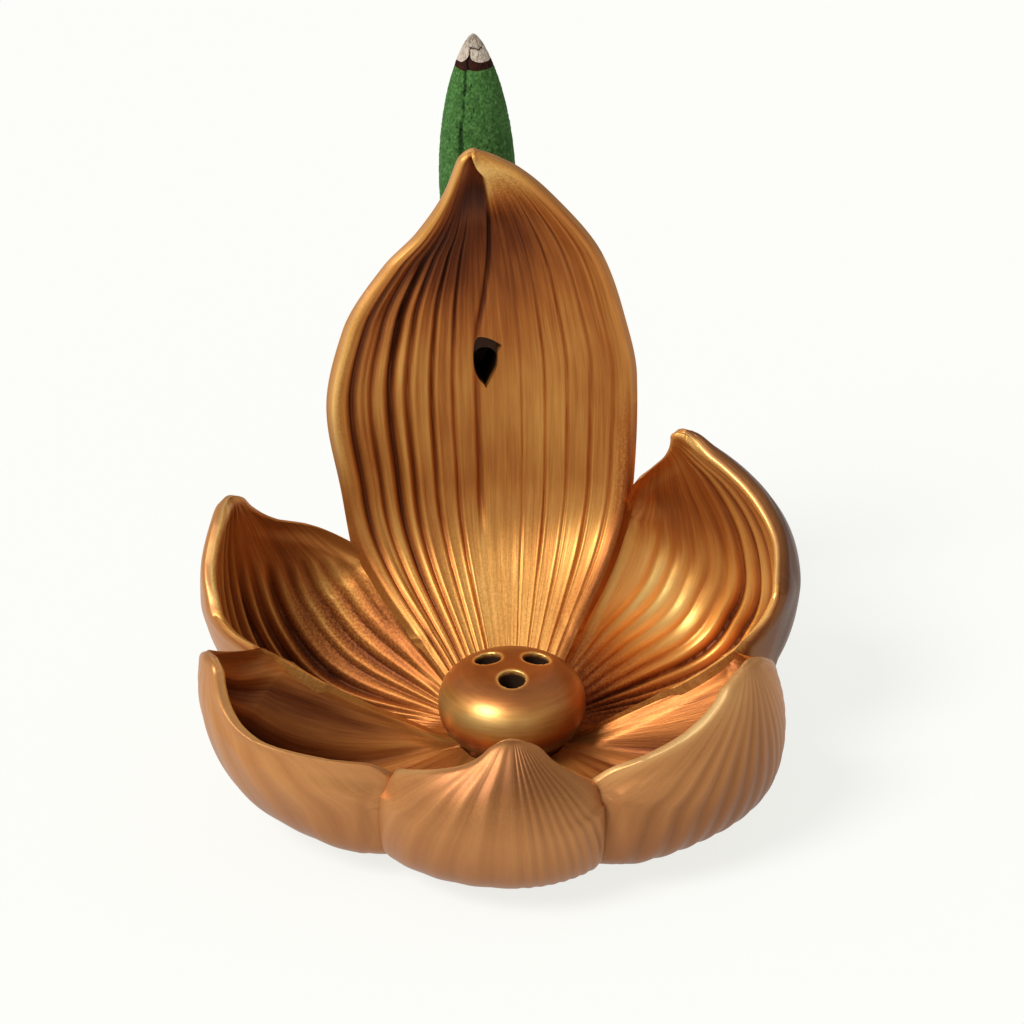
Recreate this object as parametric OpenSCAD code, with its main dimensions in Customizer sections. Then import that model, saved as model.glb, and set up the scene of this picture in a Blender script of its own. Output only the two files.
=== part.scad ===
// Lotus-shaped backflow incense burner with a cone on it.
// Origin on the floor under the middle of the flower, +Z up, -Y towards the low front petal.
// Every petal fills its own sector between two upright seam planes, so neighbours meet face to face.

/* [Flower] */
// Thickness of the base disc
base_h = 3; // [2.5:0.1:4]
// Radius at which the petals' undersides leave the base
foot_r = 31; // [29:0.5:33]
// Radius of the hole that the petals leave around the middle
root_r = 8.5; // [8:0.1:9]
// Height of the petals' inner ends above the base disc
root_rise = 4.5; // [4:0.1:5]
// Thickness of a petal's free wall
petal_wall = 2.2; // [1.9:0.1:2.6]

/* [Seams] */
// Angle of the seam between right front and right rear petal, counted from +X
seam_right = 0; // [-3:1:3]
// Angle of the seam between right rear and back petal
seam_right_rear = 59; // [57:1:61]
// Angle of the seam between back and left rear petal
seam_left_rear = 135; // [133:1:137]
// Angle of the seam between left rear and left front petal
seam_left = 182; // [179:1:185]
// Angle of the seam between left front and front petal
seam_front_left = 238; // [235:1:241]
// Angle of the seam between front and right front petal
seam_front_right = 292; // [289:1:295]

/* [Front petal] */
// Distance of the tip from the middle
front_tip_r = 34.5; // [32:0.5:36]
// Height of the tip
front_tip_z = 27.8; // [26:0.1:30]
// Outward swell of the upper side
front_swell = 47.5; // [45:0.5:50]
// Height of that swell
front_swell_z = 16.5; // [15.5:0.5:17.5]

/* [Right front petal] */
// Distance of the tip from the middle
right_front_tip_r = 41; // [39:0.5:43]
// Height of the tip
right_front_tip_z = 32.6; // [31:0.1:34]
// Outward swell of the upper side
right_front_swell = 48.5; // [46:0.5:51]
// Height of that swell
right_front_swell_z = 17; // [16:0.5:18]

/* [Right rear petal] */
// Distance of the tip from the middle
right_rear_tip_r = 37.5; // [36:0.5:39]
// Height of the tip
right_rear_tip_z = 48.5; // [46:0.1:50]
// Outward swell of the upper side
right_rear_swell = 55; // [53:0.5:57]
// Height of that swell
right_rear_swell_z = 26; // [24:0.5:28]

/* [Back petal] */
// Distance of the tip from the middle
back_tip_r = 28; // [26:0.5:30]
// Height of the tip
back_tip_z = 96; // [92:0.5:99]
// Outward swell of the upper side
back_swell = 42; // [41:0.5:43]
// Height of that swell
back_swell_z = 64; // [62:0.5:66]
// Radius of the smoke outlet
outlet_r = 2.2; // [1.8:0.1:2.5]

/* [Left rear petal] */
// Distance of the tip from the middle
left_rear_tip_r = 48.5; // [46:0.5:50]
// Height of the tip
left_rear_tip_z = 41.5; // [39:0.1:43]
// Outward swell of the upper side
left_rear_swell = 54; // [52:0.5:56]
// Height of that swell
left_rear_swell_z = 20; // [18:0.5:22]

/* [Left front petal] */
// Distance of the tip from the middle
left_front_tip_r = 49; // [47:0.5:51]
// Height of the tip
left_front_tip_z = 34; // [32:0.1:36]
// Outward swell of the upper side
left_front_swell = 52.5; // [50:0.5:55]
// Height of that swell
left_front_swell_z = 16.5; // [15.5:0.5:17.5]

/* [Seed pod] */
// Largest radius of the pod
pod_r = 11.5; // [11:0.1:12]
// Height of the pod's rounded body
pod_h = 14; // [13:0.5:15]
// Radius of a stick hole
stick_r = 2.1; // [1.5:0.1:2.3]
// Distance of the stick holes from the pod's middle
stick_ring_r = 4.3; // [4:0.1:5]
// Gap between the pod's spigot and the petals
spigot_gap = 0.15; // [0.1:0.05:0.3]

/* [Cone and its holder] */
// Diameter of the incense cone at its base
cone_d = 12.1; // [11:0.1:13]
// Height of the whole cone, ash included
cone_h = 35; // [32:0.5:37]
// Length of the burnt ash tip
ash_h = 5.2; // [4:0.1:7]
// Width of the charred band under the ash
char_h = 1.2; // [0.8:0.1:2]
// Radius of the hollow that runs up inside the cone
cone_bore_r = 1.6; // [1.2:0.1:2]
// Height of the cone's seat above the floor
seat_z = 72.6; // [70:0.2:75]
// Depth of the recess that the cone stands in
recess_h = 1.1; // [0.8:0.1:2]
// Radius of the smoke channel in the holder
channel_r = 2; // [1.5:0.1:2.2]
// Gap around the cone in its recess
cone_gap = 0.45; // [0.3:0.05:0.7]

/* [Hidden] */
$fn = 64;

// Steps of a petal's grid, up the petal and across it
petal_rows = 18;
petal_columns = 12;
// Share of the full width that is left at a petal's blunt tip
tip_share = 0.03;
// How far the inner face keeps its upper direction before it turns into the floor, as a share of its run
floor_pull = 0.38;
// Height share at which a side's cup has eased to its value at the tip
cup_eased = 0.9;
// Reach of an undercut or a cut that has to pass through a face
past = 1;

gold = [0.76, 0.53, 0.26];
tan_gold = [0.69, 0.48, 0.29];

// Fields of a side: where its rim leaves the seam, two powers for the rim's shape,
// the lift of its floor along the seam, where that lift has faded out,
// and the inward cup of its edge low on the wall and at the tip
FREE = 0;
RIM_START = 1;
RIM_END = 2;
LIFT = 3;
LIFT_END = 4;
CUP = 5;
TIP_CUP = 6;

// Fields of a petal
FROM = 0;
TO = 1;
AXIS = 2;
SWAY = 3;
SHELL = 4;
FLOOR = 5;
CURVE = 6;
FOOT_CUP = 7;
CW = 8;
CCW = 9;
BULGE = 10;

// Fields of a bulge: its place up and across the petal, its spread both ways, and how far it swells out
BULGE_UP = 0;
BULGE_ACROSS = 1;
BULGE_HIGH = 2;
BULGE_WIDE = 3;
BULGE_OUT = 4;

foot = [foot_r, base_h];
root_z = base_h + root_rise;
root = [root_r, root_z];

// Lower control points of the outer curves: how far they stand out past the foot, and above the base
low_belly_out = 14.5;
low_belly_rise = -1.2;
high_belly_out = 15;
high_belly_rise = 1;
back_belly_out = 2;
back_belly_rise = 18;
low_belly = [foot_r + low_belly_out, base_h + low_belly_rise];
high_belly = [foot_r + high_belly_out, base_h + high_belly_rise];
back_belly = [foot_r + back_belly_out, base_h + back_belly_rise];

// Control points that hold the floors down: set in from the foot, or out and up from the root at the back
low_floor_in = 4;
high_floor_in = 5;
high_floor_rise = 3;
back_floor_out = 11.5;
back_floor_rise = 12.5;
low_floor = [foot_r - low_floor_in, base_h];
high_floor = [foot_r - high_floor_in, base_h + high_floor_rise];
back_floor = [root_r + back_floor_out, root_z + back_floor_rise];

// Angles of the petals' mid-lines, and how far the two swept ones turn on towards their tips
front_axis = 270;
right_front_axis = 331;
right_rear_axis = 26;
right_rear_sway = 18;
back_axis = 96.5;
back_sway = 6;
left_rear_axis = 160;
left_front_axis = 206;
full_turn = 360;

// Inward cup of the petals' edges at the foot
foot_cup = 3;
back_foot_cup = 2;

// Lift of the floor along each seam, and inward cup of the free edge above it
front_lift = 2;
front_cup = 6;
right_front_cw_lift = 3;
right_front_cw_cup = 11;
right_front_ccw_lift = 6;
right_front_ccw_cup = 10;
right_rear_cw_lift = 8;
right_rear_cw_cup = 8;
right_rear_cw_tip_cup = 3.8;
right_rear_ccw_lift = 15;
right_rear_ccw_cup = 11.5;
back_lift = 0;
back_cup = -4;
left_rear_cw_lift = 14;
left_rear_cw_cup = 16;
left_rear_ccw_lift = 9;
left_rear_ccw_cup = 6;
left_rear_ccw_tip_cup = 3.5;
left_front_cw_lift = 6;
left_front_ccw_lift = 3;
left_front_cup = 10;

// The right rear petal swells out below its rim; the others don't
right_rear_bulge = 3.2;
no_bulge = [0, 0, 1, 1, 0];

front = [seam_front_left, seam_front_right, front_axis, 0, 0.6, low_floor,
         [foot, low_belly, [front_swell, front_swell_z], [front_tip_r, front_tip_z]], foot_cup,
         [0.72, 1.2, 1.9, front_lift, 0.72, front_cup, front_cup],
         [0.70, 1.2, 1.9, front_lift, 0.70, front_cup, front_cup], no_bulge];
right_front = [seam_front_right, seam_right + full_turn, right_front_axis, 0, 0.55, low_floor,
               [foot, low_belly, [right_front_swell, right_front_swell_z],
                [right_front_tip_r, right_front_tip_z]], foot_cup,
               [0.68, 1.1, 1.5, right_front_cw_lift, 0.68, right_front_cw_cup, right_front_cw_cup],
               [0.66, 1.3, 1.1, right_front_ccw_lift, 0.85, right_front_ccw_cup, right_front_ccw_cup],
               no_bulge];
right_rear = [seam_right, seam_right_rear, right_rear_axis, right_rear_sway, 0.42, high_floor,
              [foot, high_belly, [right_rear_swell, right_rear_swell_z],
               [right_rear_tip_r, right_rear_tip_z]], foot_cup,
              [0.56, 2, 0.8, right_rear_cw_lift, 0.9, right_rear_cw_cup, right_rear_cw_tip_cup],
              [0.82, 1.1, 1.2, right_rear_ccw_lift, 0.82, right_rear_ccw_cup, right_rear_ccw_cup],
              [0.86, -0.4, 0.24, 0.6, right_rear_bulge]];
back = [seam_right_rear, seam_left_rear, back_axis, back_sway, 0.42, back_floor,
        [foot, back_belly, [back_swell, back_swell_z], [back_tip_r, back_tip_z]], back_foot_cup,
        [0.56, 2, 0.85, back_lift, 0.56, back_cup, back_cup],
        [0.56, 1.8, 1.3, back_lift, 0.56, back_cup, back_cup], no_bulge];
left_rear = [seam_left_rear, seam_left, left_rear_axis, 0, 0.42, high_floor,
             [foot, high_belly, [left_rear_swell, left_rear_swell_z],
              [left_rear_tip_r, left_rear_tip_z]], foot_cup,
             [0.82, 1.1, 1.6, left_rear_cw_lift, 0.82, left_rear_cw_cup, left_rear_cw_cup],
             [0.68, 1.6, 0.9, left_rear_ccw_lift, 0.9, left_rear_ccw_cup, left_rear_ccw_tip_cup], no_bulge];
left_front = [seam_left, seam_front_left, left_front_axis, 0, 0.5, low_floor,
              [foot, low_belly, [left_front_swell, left_front_swell_z],
               [left_front_tip_r, left_front_tip_z]], foot_cup,
              [0.74, 1.1, 1.3, left_front_cw_lift, 0.85, left_front_cup, left_front_cup],
              [0.73, 1.1, 1.6, left_front_ccw_lift, 0.73, left_front_cup, left_front_cup], no_bulge];

// Smoke outlet: a point on the back petal's outer mid-line, and the direction it faces
outlet_share = 0.62;
outlet = bezier(back[CURVE], outlet_share);
outlet_turn = petal_turn(back, outlet_share, 0);
// The outlet is a teardrop: a smaller hole overlaps the main one below
outlet_tail_r = 0.66 * outlet_r;
outlet_tail_drop = 2.6;

// Shallow round socket in the back petal's outer face that the holder's neck is glued into
socket_sunk = 0.7;
socket_gap = 0.2;
socket_face = outlet[0] - socket_sunk;

// The holder's goblet
recess_r = cone_d / 2 + cone_gap;
cup_wall = 1.3;
cup_r = recess_r + cup_wall;
stem_r = 5.5;
neck_r = 5;
nub_h = 6;
nub_drop = 3;
goblet_low = outlet[1] - neck_r - nub_drop;
flare_from = 10;
rim_z = seat_z + recess_h;
cup_clear = 1;
cone_x = outlet[0] + cup_clear + cup_r;
goblet_steps = 8;

// The cone stands a hair above its seat
stand_gap = 0.2;
cone_z = seat_z + stand_gap;
cone_top = cone_z + cone_h;
ash_z = cone_top - ash_h;
char_z = ash_z - char_h;
// Length of the cone's rounded nose and the powers of its curve
nose_h = 0.69 * cone_h;
nose_round = 1.9;
nose_point = 0.7;
cone_bore_h = 20;
cone_steps = 10;

// The pod clears the steep floor of the back petal
pod_stand = 3;
floor_slope = (back_floor[1] - root_z) / (back_floor[0] - root_r);
pod_mid_z = root_z + floor_slope * (pod_r - root_r) + pod_stand;
pod_top_z = pod_mid_z + pod_h / 2;
pod_squareness = 2.4;
pod_steps = 14;
spigot_r = root_r - spigot_gap;
stick_turns = [30, 150, 270];

// The base disc stays in under the petals' feet
base_inset = 3.5;
base_r = foot_r - base_inset;
base_edge = 0.8;

function clamp(x) = min(max(x, 0), 1);

function smooth(x) =
    let (c = clamp(x))
    c * c * (3 - 2 * c);

function bezier(p, u) =
    pow(1 - u, 3) * p[0] + 3 * pow(1 - u, 2) * u * p[1] + 3 * (1 - u) * u * u * p[2] + pow(u, 3) * p[3];

function bezier_direction(p, u) =
    let (d = pow(1 - u, 2) * (p[1] - p[0]) + 2 * (1 - u) * u * (p[2] - p[1]) + u * u * (p[3] - p[2]))
    d / norm(d);

// Normal that points into the flower
function inward(d) = [-d[1], d[0]];

// A petal's side: v runs from -1 on the clockwise seam to 1 on the other
function side_of(p, v) = v < 0 ? p[CW] : p[CCW];

// Share of the sector's width that the petal fills at height u
function width_share(side, u) =
    u <= side[FREE] ? 1 :
    let (t = (u - side[FREE]) / (1 - side[FREE]))
    max(pow(max(1 - pow(t, side[RIM_START]), 0), side[RIM_END]), tip_share);

// Angle of a petal point; the sway bends the upper mid-line and fades out towards the seams
function petal_turn(p, u, v) =
    let (
        half = v < 0 ? p[AXIS] - p[FROM] : p[TO] - p[AXIS],
        x = width_share(side_of(p, v), u) * v,
        t = clamp((u - p[SHELL]) / (1 - p[SHELL]))
    )
    p[AXIS] + half * x + p[SWAY] * t * t * (1 - x * x);

// Lift of the floor along a seam
function petal_lift(p, u, v) =
    let (
        side = side_of(p, v),
        s = clamp(u / p[SHELL]),
        share = u < p[SHELL] ? sin(90 * s) : 1 - smooth((u - p[SHELL]) / (side[LIFT_END] - p[SHELL]))
    )
    side[LIFT] * v * v * share;

// Inward cup of a side's edge, which eases from its low value to the one at the tip
function side_cup(p, u, v) =
    let (side = side_of(p, v))
    side[CUP] + (side[TIP_CUP] - side[CUP]) * smooth((u - p[SHELL]) / (cup_eased - p[SHELL]));

// Inward shift of the free wall
function petal_cup(p, u, v) =
    let (s = clamp(u / p[SHELL]))
    (p[FOOT_CUP] + (side_cup(p, u, v) - p[FOOT_CUP]) * s) * pow(width_share(side_of(p, v), u) * v, 2);

// Outward swell of both faces
function petal_bulge(p, u, v) =
    let (
        b = p[BULGE],
        x = width_share(side_of(p, v), u) * v,
        up = (u - b[BULGE_UP]) / b[BULGE_HIGH],
        across = (x - b[BULGE_ACROSS]) / b[BULGE_WIDE]
    )
    b[BULGE_OUT] * exp(-up * up - across * across);

function outer_section(p, u, v) =
    bezier(p[CURVE], u)
    + [petal_bulge(p, u, v) - petal_cup(p, u, v), petal_lift(p, u, v) * pow(clamp(u / p[SHELL]), 4)];

function wall_section(p, u, v) =
    bezier(p[CURVE], u) + petal_wall * inward(bezier_direction(p[CURVE], u))
    + [petal_bulge(p, u, v) - petal_cup(p, u, v), petal_lift(p, u, v)];

// The floor runs from the root to the foot of the free wall
function floor_section(p, u, v) =
    let (
        s = u / p[SHELL],
        d = bezier_direction(p[CURVE], p[SHELL]),
        end = bezier(p[CURVE], p[SHELL]) + petal_wall * inward(d),
        pull = floor_pull * norm(end - root)
    )
    bezier([root, p[FLOOR], end - pull * d, end], s)
    + [petal_bulge(p, u, v) - side_of(p, v)[CUP] * v * v * s, petal_lift(p, u, v)];

function inner_section(p, u, v) = u < p[SHELL] ? floor_section(p, u, v) : wall_section(p, u, v);

function around(section, turn) = [section[0] * cos(turn), section[0] * sin(turn), section[1]];

// One closed ring of a petal: up its outer face, down its inner face, and along the flat bottom
function petal_ring(p, v) = concat(
    [for (i = [0 : petal_rows])
        let (u = i / petal_rows) around(outer_section(p, u, v), petal_turn(p, u, v))],
    [for (i = [petal_rows : -1 : 0])
        let (u = i / petal_rows) around(inner_section(p, u, v), petal_turn(p, u, v))],
    [around([root_r, base_h], petal_turn(p, 0, v))]
);

// Faces of one end of a petal: strips between outer and inner edge, and the root's triangle
function end_faces(start, ring) = concat(
    [for (i = [0 : petal_rows - 1])
        let (a = start + i, b = start + ring - 2 - i)
        each [[a, a + 1, b - 1], [a, b - 1, b]]],
    [[start, start + ring - 2, start + ring - 1]]
);

function flipped(faces) = [for (f = faces) [for (i = [len(f) - 1 : -1 : 0]) f[i]]];

module petal_solid(p) {
    ring = 2 * petal_rows + 3;
    points = [for (j = [0 : petal_columns]) each petal_ring(p, 2 * j / petal_columns - 1)];
    skin = [for (j = [0 : petal_columns - 1]) for (i = [0 : ring - 1])
        let (a = j * ring + i, b = j * ring + (i + 1) % ring)
        each [[a, a + ring, b + ring], [a, b + ring, b]]];
    polyhedron(points, concat(skin, end_faces(0, ring), flipped(end_faces(petal_columns * ring, ring))));
}

// Lies along the outlet's direction at the outlet's height, from one distance to another
module radial_rod(r, from, to, z) {
    rotate([0, 0, outlet_turn])
        translate([from, 0, z])
            rotate([0, 90, 0])
                cylinder(r = r, h = to - from);
}

module base() {
    color(tan_gold)
        rotate_extrude()
            polygon([[0, 0], [base_r - base_edge, 0], [base_r, base_edge], [base_r, base_h], [0, base_h]]);
}

module front_petal() {
    color(tan_gold) petal_solid(front);
}

module right_front_petal() {
    color(tan_gold) petal_solid(right_front);
}

module right_rear_petal() {
    color(gold) petal_solid(right_rear);
}

module back_petal() {
    color(gold) difference() {
        petal_solid(back);
        radial_rod(neck_r + socket_gap, socket_face, outlet[0] + past, outlet[1]);
        radial_rod(outlet_r, outlet[0] - 2 * petal_wall, outlet[0] + past, outlet[1]);
        radial_rod(outlet_tail_r, outlet[0] - 2 * petal_wall, outlet[0] + past, outlet[1] - outlet_tail_drop);
    }
}

module left_rear_petal() {
    color(gold) petal_solid(left_rear);
}

module left_front_petal() {
    color(tan_gold) petal_solid(left_front);
}

// Half outline of the pod, from its spigot to its top
function pod_outline() =
    let (low = -pow(1 - pow(spigot_r / pod_r, 2), 1 / pod_squareness))
    concat(
        [[0, base_h], [spigot_r, base_h]],
        [for (i = [0 : pod_steps])
            let (k = low + (1 - low) * sin(90 * i / pod_steps))
            [pod_r * sqrt(max(1 - pow(abs(k), pod_squareness), 0)), pod_mid_z + k * pod_h / 2]]
    );

// The stick holes run down through the pod, so a stick stands on the base disc
module seed_pod() {
    color(gold) difference() {
        rotate_extrude()
            polygon(pod_outline());
        for (turn = stick_turns)
            rotate([0, 0, turn])
                translate([stick_ring_r, 0, base_h - past])
                    cylinder(r = stick_r, h = pod_top_z - base_h + 2 * past);
    }
}

// Half outline of the goblet: round nub, straight stem, flare, cup and recess
function goblet_outline() =
    concat(
        [for (i = [0 : goblet_steps])
            let (a = 90 * i / goblet_steps) [stem_r * sin(a), goblet_low + nub_h * (1 - cos(a))]],
        [for (i = [0 : goblet_steps])
            let (t = i / goblet_steps)
            [stem_r + (cup_r - stem_r) * smooth(t), seat_z - flare_from + t * flare_from]],
        [[cup_r, rim_z], [recess_r, rim_z], [recess_r, seat_z], [0, seat_z]]
    );

module on_cone_axis() {
    rotate([0, 0, outlet_turn])
        translate([cone_x, 0, 0])
            children();
}

module cone_holder() {
    color(tan_gold) difference() {
        union() {
            on_cone_axis()
                rotate_extrude()
                    polygon(goblet_outline());
            radial_rod(neck_r, socket_face, cone_x, outlet[1]);
        }
        on_cone_axis()
            translate([0, 0, outlet[1]])
                cylinder(r = channel_r, h = seat_z - outlet[1] + past);
        radial_rod(channel_r, socket_face - past, cone_x, outlet[1]);
    }
}

// Radius of the cone's outer face at height z
function cone_radius(z) =
    cone_d / 2 * pow(1 - pow(1 - clamp((cone_top - z) / nose_h), nose_round), nose_point);

// Outline of a slice of the cone between two heights
function cone_slice(low, high) = concat(
    [[0, high], [0, low]],
    [for (i = [0 : cone_steps])
        let (z = low + (high - low) * i / cone_steps)
        if (cone_radius(z) > 0) [cone_radius(z), z]]
);

module incense_cone() {
    color([0.16, 0.42, 0.16]) on_cone_axis() difference() {
        rotate_extrude()
            polygon(cone_slice(cone_z, char_z));
        translate([0, 0, cone_z - past])
            cylinder(r = cone_bore_r, h = cone_bore_h + past);
    }
}

module char_band() {
    color([0.16, 0.09, 0.06]) on_cone_axis()
        rotate_extrude()
            polygon(cone_slice(char_z, ash_z));
}

module ash_tip() {
    color([0.72, 0.69, 0.66]) on_cone_axis()
        rotate_extrude()
            polygon(cone_slice(ash_z, cone_top));
}

base();
front_petal();
right_front_petal();
right_rear_petal();
back_petal();
left_rear_petal();
left_front_petal();
seed_pod();
cone_holder();
incense_cone();
char_band();
ash_tip();
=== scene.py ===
"""Looks of the lotus-shaped backflow incense burner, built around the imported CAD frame.

Lengths are millimetres and angles degrees until a mesh is made; Blender's own units are metres.
"""

import math
from dataclasses import dataclass, field

import bmesh
import bpy
import numpy as np
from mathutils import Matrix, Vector


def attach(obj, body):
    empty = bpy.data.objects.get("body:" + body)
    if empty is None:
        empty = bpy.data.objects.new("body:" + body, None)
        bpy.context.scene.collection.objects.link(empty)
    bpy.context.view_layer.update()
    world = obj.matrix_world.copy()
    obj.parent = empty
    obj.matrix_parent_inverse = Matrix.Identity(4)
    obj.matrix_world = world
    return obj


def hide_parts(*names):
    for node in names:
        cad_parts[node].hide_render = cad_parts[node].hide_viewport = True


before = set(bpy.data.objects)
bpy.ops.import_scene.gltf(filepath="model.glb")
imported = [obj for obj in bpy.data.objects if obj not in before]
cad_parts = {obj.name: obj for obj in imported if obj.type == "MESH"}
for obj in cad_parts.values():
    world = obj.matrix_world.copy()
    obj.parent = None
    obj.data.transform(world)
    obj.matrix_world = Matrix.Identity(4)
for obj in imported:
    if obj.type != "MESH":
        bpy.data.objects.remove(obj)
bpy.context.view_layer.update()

MM = 0.001

# Sizes shared with the CAD model
WALL = 2.2
FOOT = (31, 3)
ROOT = (8.5, 7.5)
BASE_TOP = 3
FLOOR_PULL = 0.38
LOW_BELLY = (45.5, 1.8)
HIGH_BELLY = (46, 4)
BACK_BELLY = (33, 21)
LOW_FLOOR = (27, 3)
HIGH_FLOOR = (26, 6)
BACK_FLOOR = (20, 20)
OUTLET_SHARE = 0.62
SOCKET_SUNK = 0.7
CUP_CLEAR = 1
CUP_R = 7.8
RECESS_R = 6.5
STEM_R = 5.5
NECK_R = 5
NUB_H = 6
NUB_DROP = 3
FLARE_H = 10
SEAT_Z = 72.6
RIM_Z = 73.7
CHANNEL_R = 2
POD_R = 11.5
POD_HALF_H = 7
POD_MID_Z = 13.76
POD_SQUARENESS = 2.4
SPIGOT_R = 8.35
STICK_R = 2.1
STICK_RING_R = 4.3
STICK_TURNS = (30, 150, 270)
CONE_R = 6.05
CONE_Z = 72.8
CONE_TOP = 107.8
NOSE_H = 24.15
NOSE_ROUND = 1.9
NOSE_POINT = 0.7
CONE_BORE_R = 1.6
CONE_BORE_H = 20

# Finish of the petals
RIM_ROUND = 1.1
RIM_DROP = 0.36 * WALL
TIP_ROUND = 3
TIP_BLUNT = 2
TIP_ROWS = 6
SEAM_ROUND = 1.2
SEAM_SINK = 0.5
TUCK = 0.9
TUCK_RUN = 3
TUCK_SHARE = 0.05
TUCK_FADE = 0.2
BARE_EASE_OVER = 0.06
BARE_EASE_UNDER = 0.22
EDGE_REACH = 2.5
CURL_RUN = 6
CURL_START = 0.2
CURL_TIP_RUN = 6
EDGE_CROWD = 0.38
CUP_EASE = 0.35
GILT_EASE = 0.12
LIP_RUN = 1.6
LIP_DIP_RUN = 3.9
WALL_LEFT = 0.45
COVERED_EDGE = 0.15
REED = 0.045
REEDS_INSIDE = 17
REEDS_OUTSIDE = 14
RIDGE = 0.25
STREAKS = 26
SHARP_EDGE = math.radians(55)
HOLDER_SHARP_EDGE = math.radians(40)


def no_points():
    return field(default_factory=list)


@dataclass
class Side:
    """One side of a petal.

    lift, settle: how far the seam edge is raised, and the height share at which that has faded out;
    cup: how far the edge is drawn in; rim: (height share, width share) points of the edge from the seam's
    end to the tip; bare: height share from which the edge shows as a rounded rim; over: it lies over its
    neighbour's edge, which is tucked under it; edge: (height share, distance from the middle, height)
    points that the inner edge is brought to; lip: bead behind the rim; curl: how far the rim bends in
    over the bowl; gilt: height share from which the rim is rubbed bright.
    """
    lift: float
    settle: float
    cup: float
    rim: list
    bare: float
    over: bool
    edge: list = no_points()
    lip: float = 0.0
    curl: float = 0.0
    gilt: float = 0.4


@dataclass
class Petal:
    """A petal between two seams.

    seams, axis, sway: turns of the seams and of the middle, and how far the tip turns on from it;
    shell: height share at which the free wall starts; floor: point that the floor's curve is pulled to;
    curve: the outer mid-line; foot_cup: how far the edges are drawn in at the foot;
    grooves, pleats: (place across, depth, width) of the furrows inside and outside;
    flow: (height share, width share, middle) points of the lines that the furrows follow, where not the
    rim's; swells: (height, place across, their spreads, amount) of bulges in the wall;
    tones_and_painted_light, worn: the same five values for darker or paler paint and for rubbed patches
    inside, the darker or paler paint being partly paint tone and partly painted shade and painted
    highlights;
    coat_and_painted_light: the same for the paint outside, also partly painted shade and painted highlights;
    calm: the same for where the furrows inside fade;
    hood: (height share, place across) points of the crease that opens into a hollow at the tip.
    """
    node: str
    seams: tuple
    axis: float
    sway: float
    shell: float
    floor: tuple
    curve: list
    foot_cup: float
    cw: Side
    ccw: Side
    slot: str
    seed: int
    rows: int = 140
    columns: int = 161
    grooves: list = no_points()
    pleats: list = no_points()
    flow: list = no_points()
    swells: list = no_points()
    tones_and_painted_light: list = no_points()
    worn: list = no_points()
    coat_and_painted_light: list = no_points()
    calm: list = no_points()
    hood: list = no_points()


# Lines that the furrows of the low petals and of the rear petals follow towards the tip
FAN = [(0.3, 1.05, 0), (0.45, 1.02, 0), (0.6, 0.9, 0), (0.7, 0.77, 0), (0.8, 0.6, 0), (0.92, 0.33, 0),
       (1, 0.13, 0)]
BOWL = [(0.4, 1, 0), (0.7, 0.93, 0), (0.85, 0.70, 0), (0.95, 0.36, 0), (1, 0.11, 0)]
SWIRL = [(0, 0.7, 0.3), (0.2, 0.75, 0.25), (0.4, 0.9, 0.08), (0.6, 1, 0), (0.7, 0.97, 0), (0.8, 0.87, 0.02),
         (0.87, 0.66, 0.06), (0.92, 0.42, 0.12), (1, 0.2, 0.14)]


def evenly(places, depth, width):
    return [(v, depth, width) for v in places]


FRONT = Petal(
    "front_petal", (238, 292), 270, 0, 0.60, LOW_FLOOR, [FOOT, LOW_BELLY, (47.5, 16.5), (34.5, 27.8)], 3,
    Side(2, 0.72, 5.5, [(0.55, 1), (0.72, 0.99), (0.79, 0.93), (0.825, 0.78), (0.87, 0.54), (0.91, 0.34),
                        (0.95, 0.22), (1, 0.12)],
         0.3, True, curl=0.6, gilt=0.45),
    Side(2, 0.70, 5.5, [(0.55, 1), (0.70, 0.99), (0.76, 0.95), (0.84, 0.71), (0.92, 0.44), (0.97, 0.31),
                        (1, 0.18)],
         0.3, True, curl=0.4, gilt=0.7),
    "gold_outside", 11,
    grooves=evenly((-0.6, -0.3, 0, 0.3, 0.6), 0.35, 0.07),
    pleats=evenly((-0.85, -0.62, -0.38, -0.14), 0.1, 0.06)
    + evenly((0.1, 0.22, 0.34, 0.46, 0.57, 0.68, 0.79, 0.9), 0.11, 0.03),
    flow=FAN,
    # Outside: paler spots left of the tip and along the left rim are painted highlights, the darker low part
    # is painted shade near the floor, and the tip is painted darker.
    coat_and_painted_light=[(0.9, 0, 0.14, 1, -0.42), (0.93, -0.4, 0.06, 0.3, 0.2), (0.86, -1, 0.1, 0.12, 0.35),
          (0.5, -0.9, 0.4, 0.2, 0.08), (0.3, 0, 0.2, 1.2, -0.14)])
RIGHT_FRONT = Petal(
    "right_front_petal", (292, 360), 331, 0, 0.55, LOW_FLOOR, [FOOT, LOW_BELLY, (48.5, 17), (41, 32.6)], 3,
    Side(3, 0.68, 10, [(0.69, 1), (0.745, 0.91), (0.805, 0.72), (0.86, 0.53), (0.93, 0.32), (0.97, 0.22),
                       (1, 0.1)],
         0.7, False, curl=0.4, gilt=0.6),
    Side(6, 0.85, 9, [(0.66, 1), (0.76, 0.88), (0.88, 0.52), (0.95, 0.27), (0.985, 0.15), (1, 0.08)],
         0.66, False, gilt=0.88),
    "gold_outside", 21,
    grooves=evenly((-0.7, -0.45, -0.2, 0.05, 0.3, 0.55), 0.5, 0.08),
    pleats=evenly((-0.8, -0.66, -0.52, -0.4, -0.28, -0.17, -0.06, 0.05, 0.16, 0.27, 0.38, 0.5, 0.62,
                   0.74, 0.86), 0.17, 0.03),
    flow=FAN, tones_and_painted_light=[(0.5, 0.3, 0.4, 0.8, -0.27)],
    # Outside: paler spots along the left rim and left of the tip are painted highlights; the darker low part
    # and right side are painted shade.
    coat_and_painted_light=[(0.86, -1, 0.16, 0.12, 0.3), (0.94, -0.6, 0.07, 0.5, 0.14), (0.35, 0, 0.25, 1.2, -0.45),
          (0.7, -0.15, 0.22, 0.3, -0.17)])
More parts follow.
